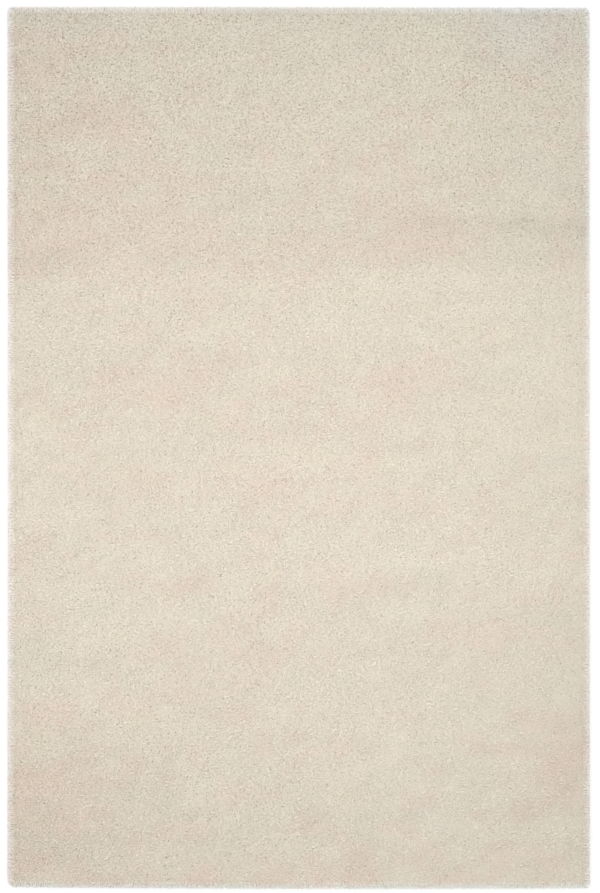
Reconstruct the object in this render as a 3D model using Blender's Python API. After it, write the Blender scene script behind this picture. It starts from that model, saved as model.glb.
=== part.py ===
"""A plain shag rug lying flat, at its real size: metres, +Z up.

The rug is woven in one piece with its pile, so it is one solid. It lies on Z = 0 with
its length along Y and its width along X, and its origin is under its middle. The woven
ground is flat underneath. The pile stands on it, leans out past the ground's edge on
all four sides and rounds off at the tips, so the solid is widest part of the way up.
The outline is slightly out of square, and the pile is lower where it lies brushed flat.
"""

import math

import bmesh
import bpy
import numpy as np

# Driving sizes. The plain rectangle reaches from tip to tip of the pile, and its sides
# then run out of square by up to 3 mm.
WIDTH = 1.612
LENGTH = 2.44
HEIGHT = 0.028  # the ground's 3 mm and the pile's 25 mm

CORNER_RADIUS = 0.022  # seen from above
TIP_ROUND = 0.013  # where the outer tips fall over the rim
GROUND_INSET = 0.009  # from the pile's reach back to the edge of the ground on the floor

# How far each side stands outside the plain rectangle at its first end, middle and last
# end. The near and far sides run towards +X, the left and right sides towards +Y.
SIDES = {
    "near": (-0.0028, 0.0017, 0.0003),
    "far": (0.0012, 0.0005, -0.0014),
    "left": (0.0006, -0.0006, 0.0003),
    "right": (0.0008, -0.0003, -0.0007),
}

# Where the pile lies flatter: the patch's middle, its half width and half length, and
# how much lower the pile is there.
BRUSHED = (
    # patch, middle x, middle y, half width, half length, drop
    ("far end", 0.00, 0.87, 1.00, 0.37, 0.0016),
    ("far right", 0.46, 0.64, 0.34, 0.06, 0.0008),
    ("near end", 0.05, -0.98, 0.90, 0.32, 0.0010),
    ("near right", 0.66, -0.92, 0.16, 0.22, 0.0008),
    ("left edge", -0.76, 0.10, 0.07, 0.70, 0.0006),
)

CELLS_ACROSS = 32  # faces across the top
CELLS_ALONG = 48
CORNER_STEPS = 4
TIP_STEPS = 4
GROUND_STEPS = 3
SHARP = math.radians(60)  # a rim turns more than this, a rounded corner's steps turn less

PILE_COLOUR = (0.78, 0.71, 0.60, 1.0)


def clear_scene():
    """Empties the scene of whatever it starts with."""
    for thing in list(bpy.data.objects):
        bpy.data.objects.remove(thing)


def collection(name):
    """A new collection in the scene."""
    made = bpy.data.collections.new(name)
    bpy.context.scene.collection.children.link(made)
    return made


def material(name, colour, roughness):
    """A plain material with one colour."""
    made = bpy.data.materials.new(name)
    made.use_nodes = True
    shader = made.node_tree.nodes["Principled BSDF"]
    shader.inputs["Base Color"].default_value = colour
    shader.inputs["Roughness"].default_value = roughness
    shader.inputs["Metallic"].default_value = 0.0
    return made


def flat_rectangle():
    """A grid of faces on Z = 0 over the rug's plain rectangle, with rounded corners."""
    mesh = bmesh.new()
    bmesh.ops.create_grid(mesh, x_segments=CELLS_ACROSS, y_segments=CELLS_ALONG, size=0.5)
    bmesh.ops.scale(mesh, vec=(WIDTH, LENGTH, 1.0), verts=mesh.verts)
    corners = [v for v in mesh.verts if len(v.link_edges) == 2]
    bmesh.ops.bevel(
        mesh,
        geom=corners,
        affect="VERTICES",
        offset=CORNER_RADIUS,
        offset_type="OFFSET",
        segments=CORNER_STEPS,
        profile=0.5,
    )
    return mesh


def thicken(mesh):
    """Gives the flat rectangle its height, with walls straight up from the floor."""
    bmesh.ops.solidify(mesh, geom=list(mesh.faces), thickness=HEIGHT)
    lowest = min(v.co.z for v in mesh.verts)
    bmesh.ops.translate(mesh, vec=(0.0, 0.0, -lowest), verts=mesh.verts)
    bmesh.ops.recalc_face_normals(mesh, faces=mesh.faces)


def round_rim(mesh, height, radius, steps):
    """Rounds off the sharp edges that lie at this height."""
    rim = [
        e
        for e in mesh.edges
        if e.calc_face_angle(0.0) > SHARP
        and all(abs(v.co.z - height) < radius / 10 for v in e.verts)
    ]
    bmesh.ops.bevel(
        mesh,
        geom=rim,
        affect="EDGES",
        offset=radius,
        offset_type="OFFSET",
        segments=steps,
        profile=0.5,
    )


def join_underside(mesh):
    """Makes the flat underside one face."""
    under = [f for f in mesh.faces if all(v.co.z < HEIGHT / 1000 for v in f.verts)]
    bmesh.ops.dissolve_faces(mesh, faces=under, use_verts=True)


def side_run(side, along):
    """The side's distance outside the rectangle, where along goes from 0 to 1: the
    parabola through the values at its two ends and its middle."""
    first, middle, last = SIDES[side]
    return (
        first * (1 - along) * (1 - 2 * along)
        + middle * 4 * along * (1 - along)
        + last * along * (2 * along - 1)
    )


def run_out_of_square(places):
    """Moves points from the plain rectangle to the rug's own outline. A side's distance
    fades evenly to nothing at the opposite side."""
    x, y = places[:, 0].copy(), places[:, 1].copy()
    across = x / WIDTH + 0.5
    along = y / LENGTH + 0.5
    places[:, 0] += across * side_run("right", along)
    places[:, 0] -= (1 - across) * side_run("left", along)
    places[:, 1] += along * side_run("far", across)
    places[:, 1] -= (1 - along) * side_run("near", across)


def lower_brushed_pile(places):
    """Scales each point's height down by the drop there. A patch's drop falls away from
    its middle as exp(-(dx / half width)^4 - (dy / half length)^4)."""
    drop = np.zeros(len(places))
    for _, middle_x, middle_y, half_width, half_length, depth in BRUSHED:
        beside = (places[:, 0] - middle_x) / half_width
        beyond = (places[:, 1] - middle_y) / half_length
        drop += depth * np.exp(-(beside**4) - beyond**4)
    places[:, 2] *= 1 - drop / HEIGHT


def stand_at_origin(places):
    """Puts the middle of the outline over the origin."""
    middle = (places.min(axis=0) + places.max(axis=0)) / 2
    places[:, :2] -= middle[:2]


def shag_rug(parts):
    """The whole rug, ground and pile, as one solid."""
    solid = flat_rectangle()
    thicken(solid)
    round_rim(solid, HEIGHT, TIP_ROUND, TIP_STEPS)
    round_rim(solid, 0.0, GROUND_INSET, GROUND_STEPS)
    join_underside(solid)

    mesh = bpy.data.meshes.new("shag_rug")
    solid.to_mesh(mesh)
    solid.free()

    places = np.empty(len(mesh.vertices) * 3)
    mesh.vertices.foreach_get("co", places)
    places = places.reshape(-1, 3)
    run_out_of_square(places)
    lower_brushed_pile(places)
    stand_at_origin(places)
    mesh.vertices.foreach_set("co", places.ravel())
    mesh.update()
    mesh.shade_smooth()
    mesh.set_sharp_from_angle(angle=SHARP)

    rug = bpy.data.objects.new("shag_rug", mesh)
    rug.data.materials.append(material("cream pile", PILE_COLOUR, 0.95))
    parts.objects.link(rug)
    return rug


def main():
    clear_scene()
    shag_rug(collection("shag rug"))


main()
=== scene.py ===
"""A plain cream shag rug lying flat, seen from straight above. Metres, +Z up.

The woven ground is a thin flat sheet on the floor. The dense lower pile stands on it
as one lumpy slab. The yarn ends that make the pile's top and rim are short closed
bodies, many to a mesh: five strips as long as the rug, and one piece all round the rim.

Shapes are worked out in the rug's plain rectangle and then moved to its own outline,
which is slightly out of square.
"""

import math

import bpy
import numpy as np
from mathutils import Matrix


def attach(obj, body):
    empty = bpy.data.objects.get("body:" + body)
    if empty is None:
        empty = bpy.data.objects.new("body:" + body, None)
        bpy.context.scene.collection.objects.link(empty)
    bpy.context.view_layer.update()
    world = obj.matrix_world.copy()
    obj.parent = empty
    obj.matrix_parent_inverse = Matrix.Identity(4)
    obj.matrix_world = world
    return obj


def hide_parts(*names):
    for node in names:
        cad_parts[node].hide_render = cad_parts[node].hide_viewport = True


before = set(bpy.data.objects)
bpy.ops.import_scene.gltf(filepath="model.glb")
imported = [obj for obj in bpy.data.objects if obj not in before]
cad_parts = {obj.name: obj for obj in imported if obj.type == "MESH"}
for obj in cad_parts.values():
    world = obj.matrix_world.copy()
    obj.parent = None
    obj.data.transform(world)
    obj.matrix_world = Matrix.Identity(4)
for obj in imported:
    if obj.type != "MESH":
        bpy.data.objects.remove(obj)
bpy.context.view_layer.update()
NODE = "shag_rug"
BODY = "root"

# The plain rectangle, from tip to tip of the pile. Its outline is the pile's reach.
WIDTH, LENGTH, HEIGHT = 1.612, 2.44, 0.028
TIP_ROUND = 0.013  # how the pile's top rounds off towards its reach
GROUND_INSET = 0.009  # the woven ground, from its edge to the reach
GROUND_THICK = 0.003

# How far each side stands outside the plain rectangle at its first end, middle and last
# end. The near and far sides run towards +X, the left and right sides towards +Y.
SIDES = {
    "near": (-0.0028, 0.0017, 0.0003),
    "far": (0.0012, 0.0005, -0.0014),
    "left": (0.0006, -0.0006, 0.0003),
    "right": (0.0008, -0.0003, -0.0007),
}

# The corners' radii, seen from above, in order round the rug
CORNERS = {"near right": 0.006, "far right": 0.013, "far left": 0.011, "near left": 0.020}

SEED = 41

# The shape of one yarn end
END_RADIUS = (0.00195, 0.00273)  # where it is widest
END_UNEVEN = (0.8, 1.2)  # shares of that radius at its four sides
WIDEST_AT = (0.62, 0.80)  # shares of the way up
WIDEST_STRAY = 0.12  # and how far each side's widest place strays from that
END_TILT = 0.15  # how far the widest part tilts
END_TWIST = 0.4  # how far its sides stray round it, in radians

# The leaning yarn ends
END_GAP_X, END_GAP_Y = 0.0058, 0.0066  # from one root to the next
GAP_STRAY = 0.45  # how far a root strays from its place, as a share of the gaps
ROOT_INSET = 0.009  # no root stands nearer the reach
ROOT_DEPTH = (0.0065, 0.0085)  # from the pile's height down to the roots of what shows
LEAN = (0.005, 0.011)  # how far an end reaches sideways
LEAN_X, LEAN_Y = 1.35, 0.55  # shares of that across the width and along the length
RIM_ZONE = 0.030  # from the outermost roots in to where the ends start to lean outwards
RIM_LEAN = 0.009  # how far they lean outwards at the outermost roots
TIP_INSET = 0.0015  # no tip comes nearer the reach
TIP_DROP = 0.0018  # how far every tip sits below the pile's height
LEAN_DROP = 0.125  # and further below, as a share of its lean
DROP_SPREAD = 0.0009  # and at random
TONE_SPREAD = 1.6  # how the ends' own tones spread, in levels
OPEN_SPREAD = 1.5  # how much wider heights and tones spread, for a share of 1 in GRAIN
SUNKEN = 0.05  # the share of yarn ends that sit lower, in the others' shade
SUNKEN_DROP = (0.001, 0.002)
SUNKEN_DARK = (15, 45)  # levels darker: painted shade on the sunken ends
STRIPS = ("left_side", "left_middle", "middle", "right_middle", "right_side")
MAP_CELLS = 150  # each strip's UV map has this many cells a side, one for a yarn end

# The yarn ends that stand out at the rim, in millimetres. An inset below nothing lies
# past the plain outline.
RIM_ROWS = (
    # row, root's inset, root's height, tip's least inset, tip's height, spacing
    ("inner crown", 24.0, 21.5, 9.6, 26.2, 5.2),
    ("crown", 19.0, 21.5, 5.1, 25.8, 5.0),
    ("shoulder", 15.0, 20.5, 1.1, 23.8, 4.8),
    ("under the shoulder", 12.0, 17.5, -1.6, 20.8, 4.8),
    ("upper", 10.0, 15.0, -3.0, 17.6, 4.8),
    ("upper middle", 9.0, 13.0, -3.4, 14.4, 4.8),
    ("lower middle", 9.0, 10.5, -3.4, 11.2, 4.8),
    ("lower", 9.5, 8.0, -3.0, 8.0, 4.8),
    ("above the foot", 10.0, 6.0, -2.0, 5.0, 4.8),
    ("foot", 11.5, 4.0, -0.2, 2.4, 4.8),
)
RIM_SHORT, RIM_SLIDE = 1.6, 1.5  # spreads of how far a tip stands in and to the side
RIM_ROOT_UP, RIM_TIP_UP = 0.8, 1.0  # spreads of the heights
RIM_TONE = 1.0  # levels
FLOOR_CLEAR = 0.0002  # metres, from the floor to the lowest tip

# The dense lower pile
LOWER_INSET = 0.003  # from its edge to the reach
LOWER_DEPTH = 0.005  # from its top up to the pile's height
LOWER_RIM_ZONE = 0.022  # where its depth grows from half of that to the whole
LOWER_LUMPS = 0.0003

# The colours: the yarn at its root, darker with painted shade, and at its tip, the painted
# shade that the yarn's colour is multiplied by in a deep pit, and the ground.
SHADED_YARN_ROOT, YARN_TIP = (0.7306, 0.6534, 0.5566), (0.7875, 0.7110, 0.6031)
PIT_PAINTED_SHADE = (0.33, 0.29, 0.23)
GROUND_COLOUR = (0.66, 0.58, 0.46)

# The photograph's frame, in its own pixels, and the rug's sides in it.
PHOTO_WIDE, PHOTO_HIGH = 600, 893
RUG_LEFT, RUG_RIGHT, RUG_TOP, RUG_BOTTOM = 8.1, 589.1, 7.9, 887.6

LENS = 150.0
SENSOR = 36.0
FLOOR_HALF = 12.0  # from the floor's middle to its sides
FLOOR_GAP = 0.0004  # keeps the floor from touching the rug's underside

# Painted light and shade: how the pile's lie and the light falling off towards the ends and
# corners shade it, in levels of 255 from the paler middle. A patch fades from its middle as
# exp(-(dx / half width)^2 - (dy / half length)^2).
SHADE = (
    # patch, middle x, middle y, half width, half length, levels
    ("far end", 0.00, 1.35, 1.60, 0.50, -6.2),
    ("far third", 0.00, 0.85, 1.80, 0.36, 1.0),
    ("far left corner", -0.80, 1.22, 0.16, 0.22, -1.8),
    ("far left", -0.80, 0.90, 0.25, 0.45, -6.4),
    ("far right corner", 0.80, 1.20, 0.30, 0.28, -5.0),
    ("far right", 0.78, 0.75, 0.30, 0.30, -5.1),
    ("far left dip", -0.50, 0.94, 0.18, 0.04, -1.8),
    ("far left bar", -0.68, 1.00, 0.10, 0.03, 3.0),
    ("far left spot", -0.51, 0.79, 0.11, 0.04, 2.2),
    ("right streak", 0.55, 0.615, 0.40, 0.028, -4.5),
    ("right streak's end", 0.78, 0.62, 0.20, 0.06, -2.2),
    ("bar above the step", -0.22, 0.54, 0.35, 0.025, 2.2),
    ("left side", -0.85, 0.00, 0.40, 0.60, -2.2),
    ("left edge", -0.82, 0.30, 0.07, 0.60, -1.4),
    ("right side", 0.85, 0.00, 0.40, 0.60, -3.5),
    ("right edge", 0.82, 0.00, 0.06, 0.90, -3.7),
    ("left hollow", -0.36, 0.24, 0.20, 0.05, -2.4),
    ("right hollow", 0.40, 0.17, 0.14, 0.03, -2.2),
    ("left bar", -0.72, 0.04, 0.12, 0.04, 3.7),
    ("lower left bar", -0.74, -0.13, 0.08, 0.04, 1.7),
    ("right spot", 0.72, 0.02, 0.10, 0.04, 1.5),
    ("middle bar", 0.12, -0.035, 0.22, 0.03, 3.6),
    ("right dip", 0.62, -0.20, 0.20, 0.06, -1.3),
    ("lower bar", 0.18, -0.32, 0.16, 0.03, 3.2),
    ("lower left hollow", -0.74, -0.30, 0.10, 0.05, -1.9),
    ("lower middle bar", -0.13, -0.43, 0.16, 0.025, 2.8),
    ("near left bar", -0.52, -0.50, 0.18, 0.04, 3.1),
    ("near left hollow", -0.75, -0.55, 0.08, 0.10, -4.2),
    ("near left streak", -0.60, -0.71, 0.16, 0.045, 2.3),
    ("near right side", 0.70, -0.60, 0.35, 0.25, -3.0),
    ("near left", -0.80, -1.05, 0.32, 0.32, -8.8),
    ("near right", 0.80, -0.95, 0.22, 0.34, -11.2),
    ("near right spot", 0.72, -1.07, 0.09, 0.05, 3.1),
    ("near end", 0.00, -1.35, 1.60, 0.45, -12.2),
    ("far left rise", -0.46, 0.66, 0.20, 0.11, 2.6),
    ("above the far step", -0.08, 0.50, 0.32, 0.12, 1.8),
    ("left rise", -0.30, 0.30, 0.13, 0.08, 1.6),
    ("middle", 0.00, -0.20, 0.50, 0.42, 1.2),
    ("right side dip", 0.72, -0.10, 0.12, 0.50, -1.9),
    ("near right dip", 0.46, -0.97, 0.18, 0.18, -2.8),
    ("far band", 0.00, 0.90, 1.80, 0.09, 1.1),
    ("near band", 0.00, -0.85, 1.80, 0.25, -0.8),
    ("near left dip", -0.50, -0.95, 0.18, 0.16, -1.2),
    ("near middle dip", -0.24, -1.10, 0.30, 0.10, -1.8),
    # Painted shade along each rim's shoulder, where the raised crown rows catch more light.
    ("left shoulder", -0.794, 0.00, 0.008, 3.00, -4.0),
    ("right shoulder", 0.7935, 0.00, 0.007, 3.00, -6.0),
    ("near shoulder", 0.00, -1.209, 3.00, 0.009, -5.0),
    ("far shoulder", 0.00, 1.208, 3.00, 0.008, -5.0),
)
# Painted shade past a fold across the rug, where the pile's lean turns from the light.
STEPS = (
    # step across the rug, y, width, levels beyond it towards +Y, levels towards -Y
    ("far step", 0.498, 0.012, -5.5, 0.0),
    ("near step", -0.385, 0.012, 0.0, -1.7),
)
STEP_WANDER = 0.006  # how far a step strays from its line,
STEP_CELLS = (0.2, 1.0)  # over cells this wide and long
# Painted light: how much paler and greyer the pile is coloured at each side's rim, where
# its ends catch light from the side and from the floor, in levels, fading evenly to nothing
# further in, and from RIM_PALE_TOP down to nothing at RIM_PALE_FOOT.
RIM_PALE = (
    # side, levels paler, levels less red, levels less yellow, fades over
    ("left", 13.5, 10.0, 7.5, 0.014),
    ("right", 18.0, 8.5, 5.0, 0.011),
    ("near", 16.0, 17.5, 3.5, 0.013),
    ("far", 7.5, 7.0, 8.5, 0.013),
)
RIM_PALE_FOOT, RIM_PALE_TOP = 0.009, 0.021
# Where the pile lies more open, so that its grain is coarser, as a share of the grain. It
# spreads the ends' heights and tones, with the sunken ends' painted shade, and darkens more
# of the lower pile with painted pit shade.
GRAIN = (
    # patch, middle x, middle y, half width, half length, share
    ("far left", -0.80, 1.25, 1.10, 0.70, 0.32),
    ("far right", 0.80, 1.25, 0.60, 0.50, 0.24),
    ("left side", -0.80, 0.00, 0.50, 0.50, -0.13),
    ("right side", 0.80, -0.10, 0.60, 0.60, -0.16),
    ("near right", 0.80, -1.15, 0.70, 0.60, -0.34),
)
# Where the cream is warmer, in levels of red over blue.
WARMTH = (
    # patch, middle x, middle y, half width, half length, levels
    ("far right corner", 0.62, 1.20, 0.22, 0.12, -6.0),
    ("far right", 0.80, 0.85, 0.25, 0.45, -2.0),
    ("far left edge", -0.80, 0.75, 0.12, 0.40, 2.0),
    ("near left", -0.75, -0.95, 0.25, 0.20, 2.0),
    ("near right", 0.35, -1.05, 0.20, 0.20, -1.5),
    ("lower band", 0.10, -0.32, 0.60, 0.08, -0.4),
    ("middle", -0.20, 0.02, 0.45, 0.20, 1.0),
    ("far end", 0.00, 1.28, 1.60, 0.20, -3.0),
    ("near end", 0.00, -1.28, 1.60, 0.12, 1.5),
)
# Where it is pinker than elsewhere, as a share. It turns from one tone to the other where
# all the shares together pass PINK_AT, the more suddenly the larger PINK_SHARP is.
PINK = (
    # patch, middle x, middle y, half width, half length, share
    ("far left bar", -0.56, 0.92, 0.18, 0.05, 1.0),
    ("far left", -0.57, 0.62, 0.25, 0.12, 1.2),
    ("far middle", -0.08, 0.56, 0.26, 0.07, 1.0),
    ("far spot", 0.06, 0.77, 0.07, 0.08, 1.0),
    ("far right", 0.34, 0.62, 0.18, 0.07, 1.2),
    ("left", -0.36, 0.19, 0.27, 0.07, 1.1),
    ("right", 0.28, 0.18, 0.14, 0.08, 1.1),
    ("middle", -0.15, -0.12, 0.28, 0.07, 1.1),
    ("lower middle", -0.15, -0.55, 0.15, 0.14, 1.0),
    ("lower right", 0.54, -0.50, 0.13, 0.05, 1.0),
    ("near left", -0.67, -0.98, 0.18, 0.14, 1.2),
    ("far left corner", -0.66, 1.10, 0.13, 0.09, 0.9),
    ("far right corner", 0.57, 1.13, 0.11, 0.07, 0.55),
    ("right side", 0.66, 0.28, 0.14, 0.26, -0.7),
    ("lower right side", 0.25, -0.60, 0.16, 0.12, -0.3),
    ("near right edge", 0.75, -0.86, 0.06, 0.12, 0.7),
    ("far line", -0.48, 0.90, 0.30, 0.06, 0.5),
    ("left of the step", -0.49, 0.50, 0.12, 0.08, 0.6),
    ("right of the step", 0.22, 0.46, 0.14, 0.07, -0.7),
    ("right rise", 0.30, 0.30, 0.12, 0.07, -0.7),
    ("lower left", -0.45, -0.50, 0.16, 0.10, -0.6),
    ("near middle", -0.28, -0.70, 0.10, 0.08, 0.8),
    ("near end", -0.10, -1.20, 0.80, 0.04, 0.7),
)
PINK_AT, PINK_SHARP = 0.5, 4
PINK_LEVELS = 2.1  # of green, from the middle to either tone
# The fine unevenness besides the patches: its cells' width and length, and its spread.
MOTTLE_GAIN = 1.5  # makes up for what smoothing takes from a mottle's spread
MOTTLES = {
    "lighter": ((0.11, 0.035, 0.9), (0.035, 0.016, 0.6)),
    "redder": ((0.12, 0.06, 0.4),),
    "pink": ((0.09, 0.045, 0.35), (0.03, 0.02, 0.25)),
    "yellower": ((0.07, 0.045, 0.4), (0.03, 0.02, 0.26)),
}


# ---------------------------------------------------------------- shapes in numpy


def side_run(side, along):
    """The side's distance outside the rectangle, where along goes from 0 to 1: the
    parabola through the values at its two ends and its middle."""
    first, middle, last = SIDES[side]
    return (
        first * (1 - along) * (1 - 2 * along)
        + middle * 4 * along * (1 - along)
        + last * along * (2 * along - 1)
    )


def out_of_square(points):
    """Moves points from the plain rectangle to the rug's own outline, in place. A side's
    distance fades evenly to nothing at the opposite side."""
    across = points[..., 0] / WIDTH + 0.5
    along = points[..., 1] / LENGTH + 0.5
    shift_x = across * side_run("right", along) - (1 - across) * side_run("left", along)
    shift_y = along * side_run("far", across) - (1 - along) * side_run("near", across)
    points[..., 0] += shift_x
    points[..., 1] += shift_y
    return points


def corner_radius(x, y):
    """The radius of the corner in each place's quarter of the rug."""
    near = np.where(x < 0, CORNERS["near left"], CORNERS["near right"])
    far = np.where(x < 0, CORNERS["far left"], CORNERS["far right"])
    return np.where(y < 0, near, far)


def rim_distance(x, y):
    """How far each place lies inside the plain rounded rectangle, and the outward
    direction there: the distance to a rectangle shrunk by the corner's radius, less it."""
    radius = corner_radius(x, y)
    over_x = np.abs(x) - (WIDTH / 2 - radius)
    over_y = np.abs(y) - (LENGTH / 2 - radius)
    past = np.hypot(np.maximum(over_x, 0), np.maximum(over_y, 0))
    inside = np.minimum(np.maximum(over_x, over_y), 0)
    distance = radius - past - inside
    at_corner = (over_x > 0) & (over_y > 0)
    beside = over_x > over_y
    out_x = np.where(at_corner, over_x / np.maximum(past, 1e-9), beside) * np.sign(x)
    out_y = np.where(at_corner, over_y / np.maximum(past, 1e-9), ~beside) * np.sign(y)
    return distance, out_x, out_y


def reach_height(distance):
    """How high the tips stand at this distance in from the rim: a quarter circle of
    TIP_ROUND at the edge, level further in."""
    short = np.clip(TIP_ROUND - distance, 0, TIP_ROUND)
    return HEIGHT - TIP_ROUND + np.sqrt(TIP_ROUND**2 - short**2)


def mottle(x, y, size_x, size_y, rng):
    """Smooth random unevenness with a spread of 1: a random lattice with cells of
    size_x by size_y, read between its points with smoothed weights."""
    across = int(math.ceil(WIDTH / size_x)) + 3
    along = int(math.ceil(LENGTH / size_y)) + 3
    lattice = rng.normal(0, 1, (across, along))
    at_x = x / size_x + across / 2 - 0.5
    at_y = y / size_y + along / 2 - 0.5
    cell_x = np.clip(np.floor(at_x).astype(int), 0, across - 2)
    cell_y = np.clip(np.floor(at_y).astype(int), 0, along - 2)
    part_x = np.clip(at_x - cell_x, 0, 1)
    part_y = np.clip(at_y - cell_y, 0, 1)
    part_x = part_x * part_x * (3 - 2 * part_x)
    part_y = part_y * part_y * (3 - 2 * part_y)
    near = lattice[cell_x, cell_y] * (1 - part_x) + lattice[cell_x + 1, cell_y] * part_x
    far = (
        lattice[cell_x, cell_y + 1] * (1 - part_x)
        + lattice[cell_x + 1, cell_y + 1] * part_x
    )
    return MOTTLE_GAIN * (near * (1 - part_y) + far * part_y)


def unit(vectors):
    """Each vector divided by its length."""
    return vectors / np.maximum(np.linalg.norm(vectors, axis=-1, keepdims=True), 1e-12)


def made_mesh(name, points, faces, smooth=True):
    """A mesh object from an array of points and an array of faces of equal size."""
    mesh = bpy.data.meshes.new(name)
    mesh.vertices.add(len(points))
    mesh.vertices.foreach_set("co", points.astype(np.float32).ravel())
    mesh.loops.add(faces.size)
    mesh.loops.foreach_set("vertex_index", faces.astype(np.int32).ravel())
    mesh.polygons.add(len(faces))
    starts = np.arange(0, faces.size, faces.shape[1], dtype=np.int32)
    mesh.polygons.foreach_set("loop_start", starts)
    mesh.update(calc_edges=True)
    if not smooth:
        mesh.shade_flat()
    made = bpy.data.objects.new(name, mesh)
    bpy.context.scene.collection.objects.link(made)
    return made


def give_numbers(piece, name, values):
    """Stores one number for each of the piece's points, for its material to read."""
    layer = piece.data.attributes.new(name, "FLOAT", "POINT")
    layer.data.foreach_set("value", values.astype(np.float32).ravel())


def give_map(piece, places):
    """Gives the piece a UV map with each point at its place, from 0 to 1 each way."""
    corner_points = np.empty(len(piece.data.loops), np.int32)
    piece.data.loops.foreach_get("vertex_index", corner_points)
    layer = piece.data.uv_layers.new(name="OFBake")
    layer.uv.foreach_set("vector", places[corner_points].astype(np.float32).ravel())


# ---------------------------------------------------------------- yarn ends


def end_points(roots, tips, radius, rng):
    """The six points of each yarn end: its root, four side points where it is widest, and
    its tip. A side point lies a share of the way from root to tip, and the radius away
    from that line, with a quarter turn to the next. Share, radius and turn are a little
    uneven, and the plane of the four tilts at random."""
    count = len(roots)
    a_side = (count, 4, 1)
    spin = rng.normal(0, 1, (count, 3))
    quarters = np.arange(4)[None, :, None] * math.pi / 2
    turns = quarters + rng.uniform(-END_TWIST, END_TWIST, a_side)
    along = unit(unit(tips - roots) + rng.normal(0, END_TILT, (count, 3)))
    side = unit(np.cross(along, spin))
    other = np.cross(along, side)
    spoke = np.cos(turns) * side[:, None] + np.sin(turns) * other[:, None]
    length = radius[:, None, None] * rng.uniform(*END_UNEVEN, a_side)
    share = rng.uniform(*WIDEST_AT, (count, 1, 1))
    share = share + rng.uniform(-WIDEST_STRAY, WIDEST_STRAY, a_side)
    ring = roots[:, None] + share * (tips - roots)[:, None] + length * spoke
    return np.concatenate([roots[:, None], ring, tips[:, None]], 1)


# A yarn end's triangles, all facing outwards, the share of the way up at which each of
# its points takes its colour, which is darker towards the root by painted shade, and the
# points' places in the end's cell of the map.
END_FACES = np.array(
    [
        [0, 2, 1],
        [0, 3, 2],
        [0, 4, 3],
        [0, 1, 4],
        [5, 1, 2],
        [5, 2, 3],
        [5, 3, 4],
        [5, 4, 1],
    ]
)
END_ALONG = np.array([0.0, 0.7, 0.7, 0.7, 0.7, 1.0])
END_MAP = np.array(
    [[0.5, 0.08], [0.1, 0.6], [0.37, 0.68], [0.63, 0.68], [0.9, 0.6], [0.5, 0.92]]
)


def yarn_piece(name, ends, tone, finish):
    """One mesh of joined yarn ends from their points and tones. An end's colour takes the
    painted light, shade and tone of the pile at its tip, and its own tone."""
    count, size = ends.shape[:2]
    starts = size * np.arange(count)
    faces = (END_FACES[None] + starts[:, None, None]).reshape(-1, 3)
    tips = ends[:, 5]
    # The painted light and shade and the tones of the pile at the tips.
    tone_and_light = painted_light_and_tone(*tips.T)
    tone_and_light["lighter"] += tone
    cell = np.arange(count)
    corner = np.stack([cell % MAP_CELLS, cell // MAP_CELLS], 1)
    map_places = (corner[:, None] + END_MAP[None]) / MAP_CELLS
    piece = made_mesh(name, out_of_square(ends.reshape(-1, 3)), faces)
    for number, levels in tone_and_light.items():
        give_numbers(piece, number, levels.repeat(size))
    give_numbers(piece, "along", np.tile(END_ALONG, count))
    give_map(piece, map_places.reshape(-1, 2))
    piece.data.materials.append(finish)
    return piece


def staggered_places(gap_x, gap_y, rng):
    """Places in staggered rows over the rug, each moved at random by up to GAP_STRAY of
    the gaps. Those nearer the reach than ROOT_INSET are left out."""
    across = int((WIDTH - 2 * ROOT_INSET) / gap_x)
    along = int((LENGTH - 2 * ROOT_INSET) / gap_y)
    column, row = np.meshgrid(np.arange(across), np.arange(along))
    x = (column + 0.5 * (row % 2) - (across - 0.5) / 2) * gap_x
    y = (row - (along - 1) / 2) * gap_y
    places = np.stack([x.ravel(), y.ravel()], 1)
    places += rng.uniform(-GAP_STRAY, GAP_STRAY, places.shape) * [gap_x, gap_y]
    distance, _, _ = rim_distance(places[:, 0], places[:, 1])
    return places[distance > ROOT_INSET]


def patches(table, x, y):
    """The sum of a table's patches at each place."""
    total = np.zeros_like(x)
    for _, middle_x, middle_y, half_width, half_length, amount in table:
        beside = (x - middle_x) / half_width
        beyond = (y - middle_y) / half_length
        total += amount * np.exp(-(beside**2) - beyond**2)
    return total


def fine_mottle(name, x, y, rng):
    """The sum of the mottles that MOTTLES gives this number."""
    return sum(
        spread * mottle(x, y, width, length, rng) for width, length, spread in MOTTLES[name]
    )


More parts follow.
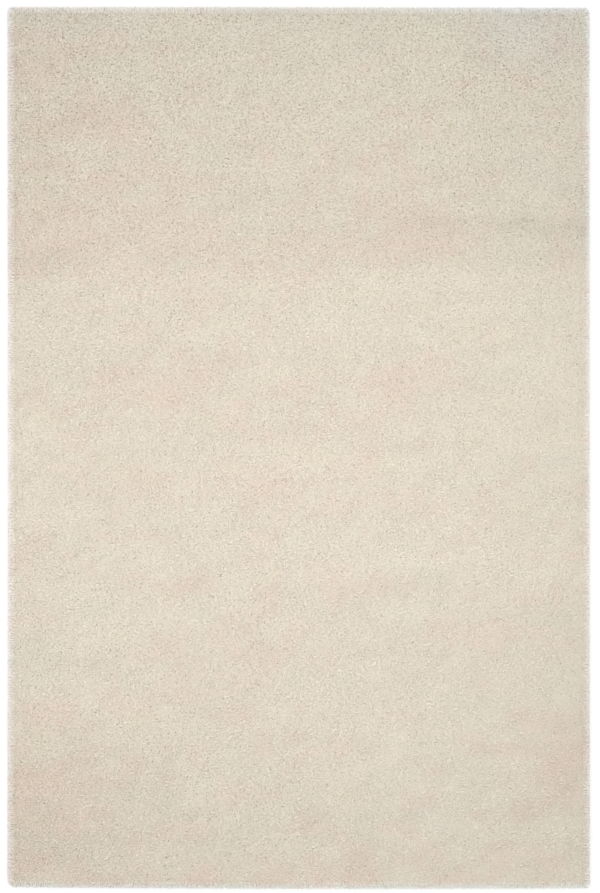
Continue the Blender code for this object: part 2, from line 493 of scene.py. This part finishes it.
def painted_light_and_tone(x, y, z):
    """Four numbers at each place, in levels: how much lighter the pile looks than in the
    middle, which holds painted light and shade as well as its own tone, and how much
    redder, greener and yellower. Each is its table's patches, if it has a table, and its
    fine mottle.
    The painted shade of the steps across the rug is a tanh of the way past them, and green
    is a tanh of how far the pink shares pass PINK_AT. Near each side the rim is painted
    paler and greyer, as painted light, by the closeness to the reach times the way up it."""
    rng = np.random.default_rng(SEED + 3)
    # Painted light and shade from SHADE, with the fine mottle of the pile's own tone.
    lighter = patches(SHADE, x, y) + fine_mottle("lighter", x, y, rng)
    # The steps add painted shade past each fold.
    for _, at, width, beyond, before in STEPS:
        way = y - at - STEP_WANDER * mottle(x, y, *STEP_CELLS, rng)
        past = 0.5 + 0.5 * np.tanh(way / width)
        lighter += beyond * past + before * (1 - past)
    redder = patches(WARMTH, x, y) + fine_mottle("redder", x, y, rng)
    pink = patches(PINK, x, y) + fine_mottle("pink", x, y, rng)
    greener = -PINK_LEVELS * np.tanh(PINK_SHARP * (pink - PINK_AT))
    yellower = fine_mottle("yellower", x, y, rng)
    up = np.clip((z - RIM_PALE_FOOT) / (RIM_PALE_TOP - RIM_PALE_FOOT), 0, 1)
    inside = {
        "left": WIDTH / 2 + x,
        "right": WIDTH / 2 - x,
        "near": LENGTH / 2 + y,
        "far": LENGTH / 2 - y,
    }
    # Painted light: the rim coloured paler and greyer.
    for side, paler, less_red, less_yellow, over in RIM_PALE:
        near = np.clip(1 - inside[side] / over, 0, 1) * up
        lighter += paler * near
        redder -= less_red * near
        yellower -= less_yellow * near
    return {"lighter": lighter, "redder": redder, "greener": greener, "yellower": yellower}


def leaning_ends(rng):
    """Yarn ends all over the rug, with their tones. Each leans over from its root in a
    direction of its own, further across the width than along it, and near the rim
    outwards too, by RIM_LEAN times the power 1.5 of its closeness to the outermost roots.
    Its tip stands at the pile's height there, less TIP_DROP, less a share of its lean and
    a little at random. Where the pile lies open, heights and tones spread wider."""
    places = staggered_places(END_GAP_X, END_GAP_Y, rng)
    count = len(places)
    x, y = places.T
    distance, out_x, out_y = rim_distance(x, y)
    closeness = np.clip(1 - (distance - ROOT_INSET) / RIM_ZONE, 0, 1)
    heading = rng.uniform(0, 2 * math.pi, count)
    lean = rng.uniform(*LEAN, count)
    lean_out = RIM_LEAN * closeness**1.5
    tip_x = x + LEAN_X * lean * np.cos(heading) + lean_out * out_x
    tip_y = y + LEAN_Y * lean * np.sin(heading) + lean_out * out_y
    tip_distance, out_x, out_y = rim_distance(tip_x, tip_y)
    back = np.maximum(TIP_INSET - tip_distance, 0)
    tip_x -= back * out_x
    tip_y -= back * out_y
    tip_distance = np.maximum(tip_distance, TIP_INSET)
    sunken = rng.random(count) < SUNKEN
    opened = 1 + OPEN_SPREAD * patches(GRAIN, x, y)
    drop = TIP_DROP + LEAN_DROP * lean
    drop += DROP_SPREAD * opened * np.abs(rng.normal(0, 1, count))
    drop += sunken * rng.uniform(*SUNKEN_DROP, count)
    tip_z = reach_height(tip_distance) - drop
    root_z = reach_height(distance) - rng.uniform(*ROOT_DEPTH, count)
    ends = end_points(
        np.stack([x, y, root_z], 1),
        np.stack([tip_x, tip_y, tip_z], 1),
        rng.uniform(*END_RADIUS, count),
        rng,
    )
    tone = TONE_SPREAD * rng.normal(0, 1, count)
    # Painted shade: the sunken ends coloured darker.
    tone -= sunken * rng.uniform(*SUNKEN_DARK, count)
    return ends, tone * opened


def main_pile(finish):
    """The leaning yarn ends in strips as long as the rug."""
    ends, tone = leaning_ends(np.random.default_rng(SEED))
    edges = np.linspace(-WIDTH / 2, WIDTH / 2, len(STRIPS) + 1)
    strips = []
    for name, left, right in zip(STRIPS, edges[:-1], edges[1:]):
        here = (ends[:, 0, 0] >= left) & (ends[:, 0, 0] < right)
        strips.append(yarn_piece("pile_" + name, ends[here], tone[here], finish))
    return strips


def round_the_rim(spacing, start):
    """Places along the plain outline a spacing apart, the first of them start spacings
    along, with their outward directions: the four straight sides and the quarter circles
    between them, by length."""
    radii = np.array(list(CORNERS.values()))
    straight = np.array([WIDTH, LENGTH, WIDTH, LENGTH]) - radii - np.roll(radii, 1)
    lengths = np.column_stack([straight, radii * math.pi / 2]).ravel()
    ends = np.cumsum(lengths)
    count = round(ends[-1] / spacing)
    at = (np.arange(count) + start) * ends[-1] / count
    leg = np.searchsorted(ends, at, side="right").clip(0, 7)
    way = (at - (ends - lengths)[leg]) / lengths[leg]
    corner = np.array([3, 0, 0, 1, 1, 2, 2, 3])[leg]
    radius = radii[corner]
    centre_x = np.array([1, 1, -1, -1])[corner] * (WIDTH / 2 - radius)
    centre_y = np.array([-1, 1, 1, -1])[corner] * (LENGTH / 2 - radius)
    turn = (np.array([-1, -1, 0, 0, 1, 1, 2, 2])[leg] + (leg % 2) * way) * math.pi / 2
    run = np.where(leg % 2 == 0, way * lengths[leg], 0)
    out_x, out_y = np.cos(turn), np.sin(turn)
    x = centre_x + radius * out_x - out_y * run
    y = centre_y + radius * out_y + out_x * run
    return np.stack([x, y], 1), np.stack([out_x, out_y], 1)


def rim_pile(finish):
    """The rows of yarn ends that stand out at the rug's four sides, one row of RIM_ROWS
    below the other, with every other row half a spacing on. Each tip stands further in
    than its row's least inset by the size of a random number, and is moved a little along
    the rim, and both of its ends a little in height."""
    rng = np.random.default_rng(SEED + 1)
    all_ends = []
    for row, (_, root_in, root_up, tip_in, tip_up, spacing) in enumerate(RIM_ROWS):
        places, outward = round_the_rim(0.001 * spacing, 0.5 * (row % 2))
        count = len(places)
        beside = np.stack([-outward[:, 1], outward[:, 0]], 1)
        further_in = np.abs(rng.normal(0, RIM_SHORT, count))
        slide = 0.001 * rng.normal(0, RIM_SLIDE, count)
        root = places - 0.001 * root_in * outward
        tip = places - 0.001 * (tip_in + further_in)[:, None] * outward
        tip += beside * slide[:, None]
        root_z = 0.001 * (root_up + rng.normal(0, RIM_ROOT_UP, count))
        tip_z = 0.001 * (tip_up + rng.normal(0, RIM_TIP_UP, count))
        ends = end_points(
            np.column_stack([root, root_z]),
            np.column_stack([tip, tip_z]),
            rng.uniform(*END_RADIUS, count),
            rng,
        )
        ends[..., 2] = ends[..., 2].clip(FLOOR_CLEAR, HEIGHT)
        all_ends.append(ends)
    ends = np.concatenate(all_ends)
    return yarn_piece("pile_rim", ends, rng.normal(0, RIM_TONE, len(ends)), finish)


# ---------------------------------------------------------------- ground and lower pile


SLAB_CORNER = 0.003  # no slab's corner is tighter


def grid_lines(half, cell, near_rim):
    """Where a slab's grid lines run, from one side to the other: evenly in the middle
    and at the given distances in from each side."""
    steps = round(2 * (half - near_rim[-1]) / cell)
    inner = np.linspace(near_rim[-1] - half, half - near_rim[-1], steps + 1)
    rim = np.array(near_rim[:-1])
    return np.concatenate([rim - half, inner, (half - rim)[::-1]])


def slab(inset, low, high_at, cell, near_rim, rim_steps):
    """The points and faces of a closed flat slab inside the outline. Its top is a grid
    over the rectangle drawn in to rounded corners, with heights from high_at(x, y), its
    underside the same grid at low, and its wall joins their edges in rim_steps rows."""
    half_x, half_y = WIDTH / 2 - inset, LENGTH / 2 - inset
    x, y = np.meshgrid(
        grid_lines(half_x, cell, near_rim), grid_lines(half_y, cell, near_rim)
    )
    radius = np.maximum(corner_radius(x, y) - inset, SLAB_CORNER)
    over_x = np.maximum(np.abs(x) - (half_x - radius), 0)
    over_y = np.maximum(np.abs(y) - (half_y - radius), 0)
    # A square corner cell is drawn in so that its outer edge becomes the quarter circle.
    longest = np.maximum(over_x, over_y)
    shrink = np.where(longest > 0, longest / np.maximum(np.hypot(over_x, over_y), 1e-9), 1)
    x = np.sign(x) * (np.abs(x) - over_x + over_x * shrink)
    y = np.sign(y) * (np.abs(y) - over_y + over_y * shrink)
    top = np.stack([x, y, high_at(x, y)], -1).reshape(-1, 3)
    bottom = np.stack([x, y, np.full_like(x, low)], -1).reshape(-1, 3)
    index = np.arange(x.size).reshape(x.shape)
    quads = np.stack(
        [index[:-1, :-1], index[:-1, 1:], index[1:, 1:], index[1:, :-1]], -1
    ).reshape(-1, 4)
    border = np.concatenate(
        [index[0, :-1], index[:-1, -1], index[-1, :0:-1], index[:0:-1, 0]]
    )
    levels = np.arange(1, rim_steps) / rim_steps
    wall = bottom[border] + levels[:, None, None] * (top[border] - bottom[border])
    between = 2 * x.size + np.arange(levels.size * border.size)
    rings = np.concatenate(
        [border[None] + x.size, between.reshape(-1, border.size), border[None]]
    )
    after = np.roll(rings, -1, axis=1)
    walls = np.stack([rings[:-1], after[:-1], after[1:], rings[1:]], -1).reshape(-1, 4)
    points = np.concatenate([top, bottom, wall.reshape(-1, 3)])
    return points, np.concatenate([quads, quads[:, ::-1] + x.size, walls])


def woven_ground(finish):
    """The woven ground: a slab with a level top, all round inside the pile's reach."""
    points, faces = slab(
        inset=GROUND_INSET,
        low=0.0,
        high_at=lambda x, y: np.full_like(x, GROUND_THICK),
        cell=0.060,
        near_rim=(0.0, 0.006, 0.013),
        rim_steps=1,
    )
    piece = made_mesh("woven_ground", out_of_square(points), faces)
    piece.data.materials.append(finish)
    return piece


def lower_pile_top(x, y):
    """The dense lower pile's height: its depth under the tips, plus random lumps. The
    depth is half of LOWER_DEPTH at its own edge and grows evenly to the whole over
    LOWER_RIM_ZONE, and the edge is rounded off as the tips are."""
    rng = np.random.default_rng(SEED + 2)
    distance, _, _ = rim_distance(x, y)
    inside = distance - LOWER_INSET
    lumps = rng.normal(0, LOWER_LUMPS, x.shape)
    depth = LOWER_DEPTH * (0.5 + 0.5 * np.clip(inside / LOWER_RIM_ZONE, 0, 1))
    return reach_height(inside) - depth + lumps


def lower_pile(finish):
    """The dense lower pile: a slab on the ground with a lumpy top. It takes its colour from
    the yarn's roots, darker with painted shade, and knows how open the pile lies."""
    points, faces = slab(
        inset=LOWER_INSET,
        low=GROUND_THICK,
        high_at=lower_pile_top,
        cell=0.030,
        near_rim=(0.0, 0.0015, 0.004, 0.0075, 0.012, 0.020),
        rim_steps=3,
    )
    # The painted light and shade and the tones of the pile at each point.
    tone_and_light = painted_light_and_tone(*points.T)
    piece = made_mesh("lower_pile", out_of_square(points), faces)
    for number, levels in tone_and_light.items():
        give_numbers(piece, number, levels)
    give_numbers(piece, "along", np.zeros(len(points)))
    give_numbers(piece, "open", patches(GRAIN, points[:, 0], points[:, 1]))
    piece.data.materials.append(finish)
    return piece


# ---------------------------------------------------------------- finishes


def node(tree, kind, place, settings=(), values=()):
    """A node of this kind at this place on the sheet, with its settings by name and its
    inputs' values by name or number."""
    made = tree.nodes.new(kind)
    made.location = place
    for name, value in dict(settings).items():
        setattr(made, name, value)
    for name, value in dict(values).items():
        made.inputs[name].default_value = value
    return made


# By how much red, green and blue grow as one level is added to each number, as a share.
LEVEL_SHARES = {
    "lighter": (0.0078, 0.0081, 0.0086),
    "redder": (0.0043, -0.0007, -0.0063),
    "greener": (-0.0018, 0.0100, 0.0070),
    "yellower": (0.0, 0.0, -0.0115),
}


def tone_and_light_factor(tree):
    """The factor for red, green and blue that the piece's four numbers stand for: one,
    and each number times its shares."""
    factor = None
    for row, (name, shares) in enumerate(LEVEL_SHARES.items()):
        number = node(
            tree,
            "ShaderNodeAttribute",
            (-1300, 300 - 200 * row),
            {"attribute_name": name},
        )
        added = node(
            tree,
            "ShaderNodeVectorMath",
            (-1050 + 170 * row, 300 - 200 * row),
            {"operation": "MULTIPLY_ADD"},
            {1: shares, 2: (1.0, 1.0, 1.0)},
        )
        tree.links.new(number.outputs["Fac"], added.inputs[0])
        if factor:
            tree.links.new(factor.outputs[0], added.inputs[2])
        factor = added
    return factor


def spread_out(tree, place, source, low, high, least, most):
    """A node that maps the source from low..high to least..most."""
    made = node(
        tree,
        "ShaderNodeMapRange",
        place,
        {},
        {"From Min": low, "From Max": high, "To Min": least, "To Max": most},
    )
    tree.links.new(source, made.inputs["Value"])
    return made.outputs[0]


def colour_between(tree, place, source, low, high, dark, light):
    """A colour that goes from dark to light as the source goes from low to high."""
    made = node(
        tree,
        "ShaderNodeMix",
        place,
        {"data_type": "RGBA"},
        {6: (*dark, 1), 7: (*light, 1)},
    )
    share = spread_out(tree, (place[0] - 200, place[1]), source, low, high, 0.0, 1.0)
    tree.links.new(share, made.inputs[0])
    return made.outputs[2]


def product(tree, place, one, other):
    """The two colours multiplied."""
    made = node(tree, "ShaderNodeVectorMath", place, {"operation": "MULTIPLY"})
    tree.links.new(one, made.inputs[0])
    tree.links.new(other, made.inputs[1])
    return made.outputs[0]


def raised(tree, shader, height, depth):
    """Raises the shader's surface by the height, with its depth in metres."""
    bump = node(tree, "ShaderNodeBump", (-300, -600), {}, {"Distance": depth})
    tree.links.new(height, bump.inputs["Height"])
    tree.links.new(bump.outputs[0], shader.inputs["Normal"])


def cream_shader(name, dark, light):
    """A matt finish with a soft sheen. Returns the finish, its shader, and its colour,
    which goes from dark at a yarn's root to light at its tip as painted shade, and is
    multiplied by the factor for the painted light, shade and tone."""
    finish = bpy.data.materials.new(name)
    finish.use_nodes = True
    tree = finish.node_tree
    shader = tree.nodes["Principled BSDF"]
    shader.inputs["Specular IOR Level"].default_value = 0.15
    shader.inputs["Sheen Weight"].default_value = 0.15
    shader.inputs["Sheen Roughness"].default_value = 0.5
    along = node(tree, "ShaderNodeAttribute", (-900, 500), {"attribute_name": "along"})
    # Painted shade: the yarn's colour darker towards its root.
    colour = colour_between(tree, (-500, 500), along.outputs["Fac"], 0, 1, dark, light)
    # Times the painted light and shade and the tones of the pile.
    tone_and_light = product(tree, (-300, 200), colour, tone_and_light_factor(tree).outputs[0])
    return finish, shader, tone_and_light


def yarn_finish(dark, light):
    """The yarn ends. Noise in the map, drawn out along each end, stands for its fibres:
    it tints them 5% either way and raises them by 0.4 mm."""
    finish, shader, tone_and_light = cream_shader("cream yarn", dark, light)
    tree = finish.node_tree
    place = node(tree, "ShaderNodeUVMap", (-1500, -500), {"uv_map": "OFBake"})
    drawn_out = node(
        tree,
        "ShaderNodeVectorMath",
        (-1300, -500),
        {"operation": "MULTIPLY"},
        {1: (7.0 * MAP_CELLS, 2.5 * MAP_CELLS, 1.0)},
    )
    tree.links.new(place.outputs[0], drawn_out.inputs[0])
    fibres = node(
        tree,
        "ShaderNodeTexNoise",
        (-1100, -500),
        {"noise_dimensions": "2D"},
        {"Scale": 1.0, "Detail": 2.0, "Roughness": 0.6},
    )
    tree.links.new(drawn_out.outputs[0], fibres.inputs["Vector"])
    noise = fibres.outputs["Fac"]
    tint = colour_between(tree, (-600, -200), noise, 0.3, 0.7, (0.95,) * 3, (1.05,) * 3)
    yarn = product(tree, (-120, 100), tone_and_light, tint)
    tree.links.new(yarn, shader.inputs["Base Color"])
    matt = spread_out(tree, (-600, -450), noise, 0.3, 0.7, 0.85, 1.0)
    tree.links.new(matt, shader.inputs["Roughness"])
    raised(tree, shader, noise, 0.0004)
    return finish


def lower_pile_finish(dark, light):
    """The dense lower pile: knobs like packed yarn ends, from cells 2 mm across, with fine
    fibre noise on them. The deepest places between them are coloured dark as painted shade,
    and more of them where the pile lies open."""
    finish, shader, tone_and_light = cream_shader("dense cream pile", dark, light)
    tree = finish.node_tree
    place = node(tree, "ShaderNodeTexCoord", (-2000, -500))
    cells = node(tree, "ShaderNodeTexVoronoi", (-1700, -400), {}, {"Scale": 480.0})
    fibres = node(
        tree,
        "ShaderNodeTexNoise",
        (-1700, -800),
        {},
        {"Scale": 1000.0, "Detail": 2.0, "Roughness": 0.6},
    )
    for texture in (cells, fibres):
        tree.links.new(place.outputs["Object"], texture.inputs["Vector"])
    knobs = node(
        tree, "ShaderNodeMath", (-1500, -400), {"operation": "SUBTRACT"}, {0: 1.0}
    )
    tree.links.new(cells.outputs["Distance"], knobs.inputs[1])
    surface = node(
        tree, "ShaderNodeMath", (-1300, -600), {"operation": "MULTIPLY_ADD"}, {1: 0.2}
    )
    tree.links.new(fibres.outputs["Fac"], surface.inputs[0])
    tree.links.new(knobs.outputs[0], surface.inputs[2])
    opened = node(tree, "ShaderNodeAttribute", (-1500, -100), {"attribute_name": "open"})
    deeper = node(
        tree, "ShaderNodeMath", (-1200, -100), {"operation": "MULTIPLY_ADD"}, {1: -0.25}
    )
    tree.links.new(opened.outputs["Fac"], deeper.inputs[0])
    tree.links.new(surface.outputs[0], deeper.inputs[2])
    # Painted shade in the deepest places between the knobs.
    painted_pit_shade = colour_between(
        tree, (-600, -200), deeper.outputs[0], 0.16, 0.45, PIT_PAINTED_SHADE, (1.0, 1.0, 1.0)
    )
    yarn = product(tree, (-120, 100), tone_and_light, painted_pit_shade)
    tree.links.new(yarn, shader.inputs["Base Color"])
    matt = spread_out(tree, (-600, -450), surface.outputs[0], 0.2, 1.0, 1.0, 0.9)
    tree.links.new(matt, shader.inputs["Roughness"])
    raised(tree, shader, surface.outputs[0], 0.003)
    return finish


def woven_finish(colour):
    """The woven ground: plain weave with 3 mm threads, raised by 0.5 mm where two waves
    at right angles meet, and darker between the threads with painted shade."""
    finish = bpy.data.materials.new("woven ground")
    finish.use_nodes = True
    tree = finish.node_tree
    shader = tree.nodes["Principled BSDF"]
    shader.inputs["Specular IOR Level"].default_value = 0.15
    place = node(tree, "ShaderNodeTexCoord", (-1500, 0))
    waves = []
    for row, way in enumerate("XY"):
        wave = node(
            tree,
            "ShaderNodeTexWave",
            (-1200, -300 * row),
            {"bands_direction": way},
            {"Scale": 52.0, "Distortion": 0.6, "Detail": 1.0, "Detail Scale": 3.0},
        )
        tree.links.new(place.outputs["Object"], wave.inputs["Vector"])
        waves.append(wave)
    weave = node(tree, "ShaderNodeMath", (-900, 0), {"operation": "MAXIMUM"})
    for number, wave in enumerate(waves):
        tree.links.new(wave.outputs["Fac"], weave.inputs[number])
    # Painted shade between the threads.
    shaded = [0.7 * c for c in colour]
    threads = colour_between(tree, (-600, 200), weave.outputs[0], 0, 1, shaded, colour)
    tree.links.new(threads, shader.inputs["Base Color"])
    matt = spread_out(tree, (-600, -100), weave.outputs[0], 0.0, 1.0, 1.0, 0.85)
    tree.links.new(matt, shader.inputs["Roughness"])
    raised(tree, shader, weave.outputs[0], 0.0005)
    return finish


# ---------------------------------------------------------------- studio


def floor():
    """A plain white studio floor under the rug."""
    points = np.array([[-1, -1, 0], [1, -1, 0], [1, 1, 0], [-1, 1, 0]]) * FLOOR_HALF
    points = points - [0, 0, FLOOR_GAP]
    piece = made_mesh("studio_floor", points, np.array([[0, 1, 2, 3]]), smooth=False)
    paint = bpy.data.materials.new("white floor")
    paint.use_nodes = True
    shader = paint.node_tree.nodes["Principled BSDF"]
    shader.inputs["Base Color"].default_value = (0.22, 0.22, 0.22, 1)
    shader.inputs["Emission Color"].default_value = (1, 1, 1, 1)
    shader.inputs["Emission Strength"].default_value = 0.73
    shader.inputs["Roughness"].default_value = 0.9
    shader.inputs["Specular IOR Level"].default_value = 0.0
    piece.data.materials.append(paint)


def studio_light():
    """Even light from all round, and one very large soft light from the far left."""
    world = bpy.data.worlds.new("studio")
    world.use_nodes = True
    background = world.node_tree.nodes["Background"]
    background.inputs["Color"].default_value = (1, 1, 1, 1)
    background.inputs["Strength"].default_value = 1.32
    bpy.context.scene.world = world
    light = bpy.data.lights.new("soft light", "SUN")
    light.energy = 0.6
    light.angle = math.radians(50)
    lamp = bpy.data.objects.new("soft light", light)
    lamp.location = (-1.2, 1.4, 3.0)
    lamp.rotation_euler = lamp.location.to_track_quat("Z", "Y").to_euler()
    bpy.context.scene.collection.objects.link(lamp)


def camera():
    """A camera straight above, framed as the photograph is: its long side spans the
    sensor, and the rug's sides fall on the same pixels."""
    metres_a_pixel = LENGTH / (RUG_BOTTOM - RUG_TOP)
    distance = PHOTO_HIGH * metres_a_pixel * LENS / SENSOR
    data = bpy.data.cameras.new("camera")
    data.lens = LENS
    data.sensor_width = SENSOR
    data.clip_end = 100
    view = bpy.data.objects.new("camera", data)
    view.location = (
        (PHOTO_WIDE / 2 - (RUG_LEFT + RUG_RIGHT) / 2) * metres_a_pixel,
        -(PHOTO_HIGH / 2 - (RUG_TOP + RUG_BOTTOM) / 2) * metres_a_pixel,
        HEIGHT / 2 + distance,
    )
    bpy.context.scene.collection.objects.link(view)
    bpy.context.scene.camera = view


# ---------------------------------------------------------------- the rug


def rug():
    """All of the rug's pieces, on its one body."""
    yarn = yarn_finish(SHADED_YARN_ROOT, YARN_TIP)
    ground = woven_ground(woven_finish(GROUND_COLOUR))
    lower = lower_pile(lower_pile_finish(SHADED_YARN_ROOT, YARN_TIP))
    yarn_pieces = main_pile(yarn) + [rim_pile(yarn)]
    for piece in [ground, lower, *yarn_pieces]:
        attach(piece, BODY)
    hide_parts(NODE)


camera()
floor()
studio_light()
rug()

bpy.context.scene.view_settings.view_transform = "Standard"

bpy.context.view_layer.update()
